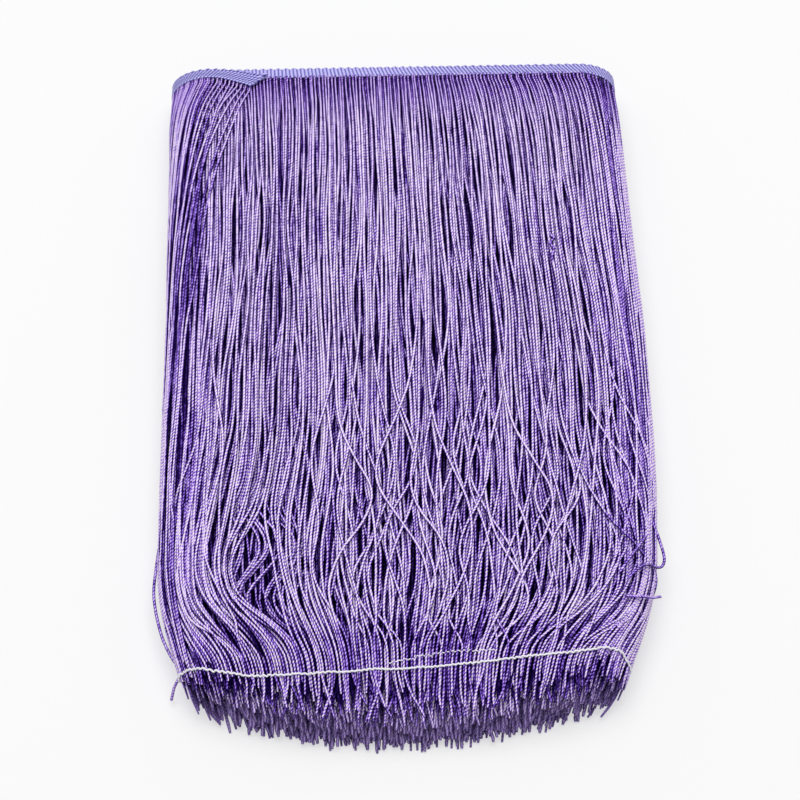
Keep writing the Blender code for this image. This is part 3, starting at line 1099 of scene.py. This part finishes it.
@dataclass
class BastingThread:
    """The white thread sewn across the strands near their cut ends, there and back.

    Its stitches are in millimetres, round the pad and down from the heading.
    """

    pad: Pad
    fringe: Fringe
    radius: float = 0.40 * MM
    ripple: float = 0.32 * MM
    back_share: float = 0.6
    back_sunk: float = 0.5 * MM
    near_rows: int = 14
    stitches: tuple[tuple[float, float], ...] = (
        (-98.0, 267.5), (-87.0, 266.6), (-81.0, 267.6), (-72.0, 270.0), (-62.0, 272.0), (-43.0, 272.3),
        (-20.0, 271.6), (11.0, 270.3), (34.0, 268.3), (57.0, 266.3), (72.0, 264.6), (79.0, 264.2),
        (83.0, 264.5), (88.0, 266.7), (93.0, 269.0),
    )
    back: tuple[tuple[float, float], ...] = ((-7.0, 268.4), (5.0, 266.0), (18.0, 264.3), (34.0, 264.0))

    def strands(self) -> Strands:
        """The thread's run over the strands, and its way back, sunk among them."""
        over = self.course(self.stitches, self.radius, 0.9 * self.radius)
        return over.joined(self.course(self.back, self.back_share * self.radius, -self.back_sunk))

    def course(
        self, stitches: Sequence[tuple[float, float]], radius: float, proud: float, rows: int = 420
    ) -> Strands:
        """One run of the thread.

        Args:
            stitches: Where it turns.
            radius: Its radius.
            proud: How far its middle stands over the strands under it.
            rows: How many rows it has.

        Returns:
            The run, as a batch of one.
        """
        place = np.linspace(0, len(stitches) - 1, rows)
        table = np.array(stitches) * MM
        knots = np.arange(len(stitches))
        arc, down = (eased(np.interp(place, knots, column), 60) for column in table.T)
        over = self.tops(arc, down)
        height = eased(np.maximum(over, eased(over, 30)), 6) + proud
        down = down + self.ripple * np.sin(arc / (0.36 * MM)) * (0.7 + 0.3 * np.sin(arc / (3.1 * MM)))
        points, outs = self.pad.place(down, self.pad.station(down, arc), height)
        past = np.clip((down - self.fringe.droop_from) / self.fringe.droop_within, 0, 1)
        points[..., 2] *= 1 - self.fringe.droop * past**1.6
        radii = np.full(rows, radius)
        radii[[0, 1, -2, -1]] *= [0.3, 0.8, 0.8, 0.3]
        return Strands(points[None], outs[None], radii[None], np.zeros((1, rows)))

    def tops(self, arc: Array, down: Array) -> Array:
        """How high the strands stand under each of the thread's places.

        Args:
            arc: The places round the pad.
            down: Their distances from the heading.

        Returns:
            Heights over the pad.
        """
        tops = np.full(len(arc), -0.6 * MM)
        knots = np.arange(self.near_rows)
        fine = np.linspace(0, self.near_rows - 1, 80)
        for strands, arcs, downs, heights in self.fringe.resting[2:]:
            near = [part[:, -self.near_rows :] for part in (arcs, downs, heights + 0.8 * strands.radii)]
            spots = [np.stack([np.interp(fine, knots, line) for line in part]).ravel() for part in near]
            for i, (here, there) in enumerate(zip(arc, down)):
                close = (np.abs(spots[0] - here) < 1.1 * MM) & (np.abs(spots[1] - there) < 1.2 * MM)
                if close.any():
                    tops[i] = max(tops[i], spots[2][close].max())
        return tops


class Graph:
    """A short way to write a node tree."""

    def __init__(self, tree: bpy.types.NodeTree) -> None:
        """Starts on an empty tree."""
        self.tree = tree

    def node(self, kind: str, values: dict | None = None, **settings: object) -> bpy.types.Node:
        """Adds a node.

        Args:
            kind: The node's type name.
            values: Its inputs, by name or number: sockets to link or constants to set.
            **settings: The node's own settings.

        Returns:
            The new node.
        """
        made = self.tree.nodes.new(kind)
        for key, value in settings.items():
            setattr(made, key, value)
        for key, value in (values or {}).items():
            if isinstance(value, Socket):
                self.tree.links.new(value, made.inputs[key])
            else:
                made.inputs[key].default_value = value
        return made

    def math(self, operation: str, *parts: object) -> Socket:
        """The result of a sum of one to three parts."""
        return self.node("ShaderNodeMath", dict(enumerate(parts)), operation=operation).outputs[0]

    def times(self, *parts: object) -> Socket:
        """All the parts multiplied."""
        return reduce(lambda one, other: self.math("MULTIPLY", one, other), parts)

    def plus(self, *parts: object) -> Socket:
        """All the parts added up."""
        return reduce(lambda one, other: self.math("ADD", one, other), parts)

    def scaled(self, value: Socket, factor: object, more: object) -> Socket:
        """A value times a factor, with more added."""
        return self.math("MULTIPLY_ADD", value, factor, more)

    def stored(self, name: str) -> Socket:
        """A value that the mesh stores for its points."""
        return self.node("ShaderNodeAttribute", attribute_name=name).outputs["Fac"]

    def split(self, vector: Socket) -> bpy.types.NodeOutputs:
        """A vector's three parts."""
        return self.node("ShaderNodeSeparateXYZ", {0: vector}).outputs

    def joined(self, *parts: object) -> Socket:
        """A vector made of two parts."""
        return self.node("ShaderNodeCombineXYZ", dict(enumerate(parts))).outputs[0]

    def noise(self, where: Socket, scale: float, detail: float) -> Socket:
        """Smooth noise from 0 to 1."""
        values = {"Vector": where, "Scale": scale, "Detail": detail}
        return self.node("ShaderNodeTexNoise", values).outputs["Fac"]

    def share(self, value: Socket, start: float, stop: float) -> Socket:
        """How far a value has come from start to stop, eased at both."""
        ends = {"Value": value, "From Min": start, "From Max": stop}
        return self.node("ShaderNodeMapRange", ends, interpolation_type="SMOOTHSTEP").outputs[0]

    def mixed(self, share: Socket, colour: Socket, other: Triple) -> Socket:
        """A colour with a share of another."""
        values = {0: share, 6: colour, 7: (*other, 1.0)}
        return self.node("ShaderNodeMix", values, data_type="RGBA").outputs[2]

    def surface(self, height: Socket, strength: float, depth: float, values: dict) -> None:
        """Ends a material's tree with its shader.

        Args:
            height: The height of its relief.
            strength: How strong the relief is.
            depth: How far the relief reaches.
            values: The shader's other inputs, by name.
        """
        bump = self.node("ShaderNodeBump", {"Height": height, "Strength": strength, "Distance": depth})
        shader = self.node("ShaderNodeBsdfPrincipled", {**values, "Normal": bump.outputs["Normal"]})
        self.node("ShaderNodeOutputMaterial", {"Surface": shader.outputs[0]})

    def ramp(self, value: Socket, stops: Sequence[tuple[float, Triple]]) -> Socket:
        """A colour read off a ramp.

        Args:
            value: The place to read it at.
            stops: The ramp's places and their colours.

        Returns:
            The colour.
        """
        made = self.node("ShaderNodeValToRGB", {"Fac": value})
        elements = made.color_ramp.elements
        while len(elements) < len(stops):
            elements.new(1.0)
        for element, (place, colour) in zip(elements, stops):
            element.position = place
            element.color = (*colour, 1.0)
        return made.outputs["Color"]


def blank_material(name: str) -> tuple[bpy.types.Material, Graph]:
    """A new material, and a graph on its emptied tree."""
    material = bpy.data.materials.new(name)
    material.use_nodes = True
    material.node_tree.nodes.clear()
    return material, Graph(material.node_tree)


def ply_group(stitch: float = 1.45) -> bpy.types.NodeTree:
    """A node group that gives a chainette yarn's ridges, its crown and its fine fibres, which its finish
    also uses for painted highlights and painted shade.

    Args:
        stitch: How far apart the ridges are, in millimetres.

    Returns:
        The new group.
    """
    tree = bpy.data.node_groups.new("Chainette ply", "ShaderNodeTree")
    graph = Graph(tree)
    around, along, _ = graph.split(graph.node("ShaderNodeUVMap", uv_map="yarn").outputs[0])
    twist = graph.scaled(along, 1 / stitch, graph.times(around, 2.0))
    wave = graph.math("COSINE", graph.times(twist, 2 * math.pi))
    tone = graph.stored("tone")
    each = graph.joined(graph.math("ROUND", twist), tone)
    chance = graph.node("ShaderNodeTexWhiteNoise", {"Vector": each}, noise_dimensions="2D")
    # Each stitch's random strength, for its relief and for its painted highlight.
    stitch_relief_and_glint = graph.scaled(chance.outputs["Value"], 0.3, 0.4)
    run = graph.joined(graph.times(tone, 90.0), graph.times(along, 0.4))
    parts = {
        "Ridge": graph.scaled(wave, stitch_relief_and_glint, stitch_relief_and_glint),
        "Crown": graph.math("ABSOLUTE", graph.math("SINE", graph.times(around, 2 * math.pi))),
        "Fibre": graph.noise(graph.joined(graph.times(around, 9.0), along), 1.7, 2.0),
        "Streak": graph.noise(run, 1.0, 1.0),
    }
    for name in parts:
        tree.interface.new_socket(name=name, in_out="OUTPUT", socket_type="NodeSocketFloat")
    graph.node("NodeGroupOutput", parts)
    return tree


@dataclass(frozen=True)
class YarnFinish:
    """Lustrous twisted chainette yarn, with painted shade between its ply ridges, on its sides and down in
    the pile, and painted highlights on its ridges.
    """

    name: str
    # The two darkest tones are painted shade and the two lightest painted highlights; body is the yarn's own
    # violet.
    shadow: Triple = (0.008, 0.0002, 0.058)
    low: Triple = (0.088, 0.029, 0.32)
    body: Triple = (0.39, 0.215, 0.98)
    bright: Triple = (0.83, 0.61, 1.0)
    top_highlight: Triple = (0.99, 0.88, 1.0)
    sheen: Triple = (0.70, 0.55, 1.0)
    roughness: float = 0.45
    gloss: float = 0.10
    dull: Triple = (0.29, 0.20, 0.51)
    fray: float = 0.72
    # The painted shade that the heading tape casts on the strands' roots, and how strong it is.
    heading_shade: Triple = (0.24, 0.09, 0.66)
    heading_shade_share: float = 0.34

    def make(self, ply: bpy.types.NodeTree) -> bpy.types.Material:
        """Makes the material.

        Args:
            ply: The node group that gives the yarn's relief.

        Returns:
            The new material.
        """
        material, graph = blank_material(self.name)
        ridge, crown, fibre, streak = graph.node("ShaderNodeGroup", node_tree=ply).outputs
        where = graph.node("ShaderNodeTexCoord").outputs["Object"]
        # lit is one less the painted shade that the strand carries from the pile, the heading, the folds and
        # the basting.
        lit = graph.math("MAXIMUM", graph.scaled(graph.stored("painted_shade"), -1.0, 1.0), 0.0)
        # Painted shade on each strand's two sides, lightest over its crown.
        crown_shade = graph.scaled(graph.math("POWER", crown, 2.2), 0.98, 0.02)
        # Painted highlights on the ply ridges and painted shade between them; the strand's tone, fibres,
        # patches and streaks are its own colour.
        shade_and_tone = graph.plus(
            graph.times(lit, crown_shade, graph.scaled(ridge, 0.72, 0.56)),
            graph.times(graph.stored("tone"), 0.10),
            graph.scaled(fibre, 0.16, -0.08),
            graph.scaled(graph.noise(where, 45.0, 1.0), 0.16, -0.08),
            graph.scaled(streak, 0.8, -0.4),
        )
        tones = (self.shadow, self.low, self.body, self.bright, self.top_highlight)
        colour = graph.ramp(shade_and_tone, tuple(zip((0.08, 0.29, 0.52, 0.78, 0.97), tones)))
        values = {
            "Base Color": self._ended(graph, colour, lit, where),
            "Roughness": self.roughness,
            "Specular IOR Level": self.gloss,
            "Specular Tint": (*self.sheen, 1.0),
        }
        graph.surface(graph.scaled(fibre, 0.25, graph.times(ridge, 0.75)), 0.6, 0.35 * MM, values)
        return material

    def _ended(self, graph: Graph, colour: Socket, lit: Socket, where: Socket) -> Socket:
        """The yarn's colour with its two ends.

        It is evener and carries painted shade towards the heading, where the tape shades the strands' roots,
        and is duller at the lowest cut ends, where their loose fibres make a haze.

        Args:
            graph: The material's graph.
            colour: The yarn's colour between its ends.
            lit: How little painted shade it carries from the pile.
            where: The place on the object.

        Returns:
            The colour.
        """
        _, along, up = graph.split(where)
        # Painted shade under the heading tape, where the strand lies open.
        even = graph.times(graph.share(along, 112 * MM, 138 * MM), self.heading_shade_share, lit)
        ended = graph.share(along, -120 * MM, -136 * MM)
        haze = graph.times(ended, graph.share(up, 24 * MM, 9 * MM), self.fray)
        return graph.mixed(haze, graph.mixed(even, colour, self.heading_shade), self.dull)


@dataclass(frozen=True)
class TapeFinish:
    """Ribbed blue-violet tape, with cords along it and ribs across, painted shade in its grooves and painted
    highlights on its raised ribs.
    """

    name: str = "Heading weave"
    # The darkest tone is painted shade in the grooves and the lightest a painted highlight on the raised
    # ribs and nubs; body is the tape's own blue-violet.
    valley_shade: Triple = (0.025, 0.016, 0.18)
    body: Triple = (0.235, 0.205, 0.64)
    nub_highlight: Triple = (0.58, 0.555, 0.98)
    # The pitches are in millimetres.
    rib_pitch: float = 1.65
    cord_pitch: float = 8.5 / 6

    def make(self) -> bpy.types.Material:
        """Makes the material."""
        material, graph = blank_material(self.name)
        uv = graph.node("ShaderNodeUVMap", uv_map="weave").outputs[0]
        along, across, _ = graph.split(uv)
        nubby = graph.stored("nubby")
        sharp = graph.scaled(nubby, 1.1, 0.8)
        rib = graph.math("POWER", self._wave(graph, along, self.rib_pitch), sharp)
        cord = graph.math("POWER", self._wave(graph, across, self.cord_pitch), sharp)
        groove = graph.times(nubby, 0.72, graph.math("SUBTRACT", 1.0, cord))
        ribbed = graph.scaled(rib, graph.scaled(nubby, 0.72, 0.56), graph.scaled(nubby, 0.12, 0.24))
        raised = graph.times(ribbed, graph.math("SUBTRACT", 1.0, groove))
        height = graph.scaled(raised, 0.85, graph.times(graph.noise(uv, 1.4, 3.0), 0.25))
        # The colour follows the relief's height: painted shade low down, painted highlights on top.
        colour = graph.ramp(height, ((0.28, self.valley_shade), (0.54, self.body), (0.90, self.nub_highlight)))
        values = {"Base Color": colour, "Roughness": 0.62, "Specular IOR Level": 0.25}
        graph.surface(height, 0.7, 0.3 * MM, values)
        return material

    @staticmethod
    def _wave(graph: Graph, place: Socket, pitch: float) -> Socket:
        """Rounded ridges at an even pitch."""
        return graph.math("ABSOLUTE", graph.math("SINE", graph.times(place, math.pi / pitch)))


@dataclass(frozen=True)
class ThreadFinish:
    """Matt white sewing thread of twisted plies, with painted shade between them."""

    name: str = "Basting thread"
    colour: Triple = (1.0, 1.0, 1.0)
    # The darker tone is painted shade between the plies.
    valley_shade: Triple = (0.80, 0.78, 0.88)

    def make(self, ply: bpy.types.NodeTree) -> bpy.types.Material:
        """Makes the material.

        Args:
            ply: The node group that gives the yarn's relief.

        Returns:
            The new material.
        """
        material, graph = blank_material(self.name)
        ridge = graph.node("ShaderNodeGroup", node_tree=ply).outputs["Ridge"]
        colour = graph.ramp(ridge, ((0.1, self.valley_shade), (0.6, self.colour)))
        graph.surface(ridge, 0.5, 0.2 * MM, {"Base Color": colour, "Roughness": 0.8})
        return material


@dataclass(frozen=True)
class Studio:
    """The pale surface, the soft overhead light and the camera at the photograph's angle."""

    elevation: float = math.radians(63.0)
    turned: float = math.radians(-1.2)
    aside: float = 2.0 * MM
    distance: float = 0.95
    target: Triple = (0.0, -3.87 * MM, 15.0 * MM)
    lens: float = 103.2
    floor_size: float = 8.0
    floor_white: float = 0.42
    floor_glow: float = 0.535
    world: float = 0.40
    key: float = 20.5
    key_size: float = 1.3
    key_place: Triple = (-0.04, 0.25, 1.65)

    def camera(self) -> None:
        """Makes the camera and the scene's own."""
        toward = Vector((0.0, math.cos(self.elevation), -math.sin(self.elevation)))
        place = Vector(self.target) - self.distance * toward - Vector((self.aside, 0, 0))
        lens = bpy.data.cameras.new("Camera")
        lens.lens = self.lens
        lens.clip_start = 0.02
        made = placed("Camera", lens)
        made.location = Matrix.Rotation(self.turned, 4, "Z") @ place
        made.rotation_euler = (math.pi / 2 - self.elevation, 0.0, self.turned)
        bpy.context.scene.camera = made

    def floor(self) -> None:
        """Lays the pale surface under the object."""
        half = self.floor_size / 2
        corners = [(-half, -half, 0), (half, -half, 0), (half, half, 0), (-half, half, 0)]
        mesh = bpy.data.meshes.new("Floor")
        mesh.from_pydata(corners, [], [(0, 1, 2, 3)])
        made = placed("Floor", mesh)
        material = bpy.data.materials.new("Pale surface")
        material.use_nodes = True
        values = {
            "Base Color": (*[self.floor_white] * 3, 1),
            "Roughness": 0.9,
            "Specular IOR Level": 0.1,
            "Emission Color": (1, 1, 1, 1),
            "Emission Strength": self.floor_glow,
        }
        for name, value in values.items():
            material.node_tree.nodes["Principled BSDF"].inputs[name].default_value = value
        mesh.materials.append(material)

    def lights(self) -> None:
        """Sets an even white surround and one broad light overhead."""
        world = bpy.data.worlds.new("Soft surround")
        world.use_nodes = True
        background = world.node_tree.nodes["Background"]
        background.inputs["Color"].default_value = (1, 1, 1, 1)
        background.inputs["Strength"].default_value = self.world
        bpy.context.scene.world = world
        lamp = bpy.data.lights.new("Overhead", "AREA")
        lamp.shape = "DISK"
        lamp.size = self.key_size
        lamp.energy = self.key
        made = placed("Overhead", lamp)
        made.location = self.key_place
        made.rotation_euler = (-Vector(self.key_place)).to_track_quat("-Z", "Y").to_euler()

    def build(self) -> None:
        """Makes the whole set."""
        self.camera()
        self.floor()
        self.lights()
        bpy.context.scene.view_settings.view_transform = "Standard"


@dataclass
class Hank:
    """The whole object: its fringe, heading tape and basting thread, dressed and tied to the frame."""

    pad: Pad
    seed: int = 11

    def __post_init__(self) -> None:
        """Seeds the yarn's chances, and makes the relief and the yarn that its pieces share."""
        self.rng = np.random.default_rng(self.seed)
        self.ply = ply_group()
        self.yarn = YarnFinish("Violet chainette").make(self.ply)

    def dress(self, piece: bpy.types.Object, node: str, material: bpy.types.Material) -> None:
        """Gives a piece its finish and ties it to the frame.

        Args:
            piece: The new object.
            node: The CAD node that it stands for.
            material: Its finish.
        """
        piece.data.materials.append(material)
        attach(piece, BODY)
        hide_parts(node)
        triangles = sum(len(polygon.vertices) - 2 for polygon in piece.data.polygons)
        LOG.info("%s: %d triangles", piece.name, triangles)

    def fringe(self) -> Fringe:
        """Builds every strand, layer by layer, and returns the fringe with its finished surface."""
        fringe = Fringe(self.pad)
        third, second, top = fringe.layers()
        loose = fringe.loose_layer(HeadingTape(self.pad))
        fringe.shade()
        pieces = (
            ("strands_top", 6, (14, 13), top),
            ("strands_second", 5, (14, 13), second),
            ("strands_third", 4, (14, 13), third.thinned(2)),
            ("strands_loose", 6, (8, 7), loose),
            ("strands_under", 5, (11, 10), fringe.lower_layer()),
            ("strands_inner", 4, (48, 46), fringe.inner_layers()),
            ("strands_stray", 8, (3, 3), StrayStrands(self.pad.root_y).strands()),
        )
        for name, sides, tiles, strands in pieces:
            piece = StrandMesh(name, sides, tiles=tiles).build(strands, self.rng)
            self.dress(piece, "fringe", self.yarn)
        return fringe

    def heading(self) -> None:
        """Builds the coil's inner turns, and its last turn with the loose end."""
        tape = HeadingTape(self.pad)
        weave = TapeFinish().make()
        last = 4 * (tape.turns - 1)
        coil = tape.build("heading_coil", 0, last, 0.95 * MM, 5)
        outer = tape.build("heading_outer", last, last + 4 + tape.end_station, tape.rib_pitch / 4, 10)
        for piece in (coil, outer):
            self.dress(piece, "heading_tape", weave)

    def basting(self, fringe: Fringe) -> None:
        """Builds the basting thread on the finished fringe."""
        runs = BastingThread(self.pad, fringe).strands()
        piece = StrandMesh("basting", 10, 1.0, (1, 2)).build(runs, self.rng)
        self.dress(piece, "basting_thread", ThreadFinish().make(self.ply))


def main() -> None:
    """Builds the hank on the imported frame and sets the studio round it."""
    logging.basicConfig(level=logging.INFO, format="%(name)s: %(message)s")
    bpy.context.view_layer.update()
    Studio().build()
    head_low, head_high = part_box("heading_tape")
    hank = Hank(Pad(middle_x=head_high.x - 98.0 * MM, root_y=head_low.y))
    fringe = hank.fringe()
    hank.heading()
    hank.basting(fringe)


if __name__ == "__main__":
    main()
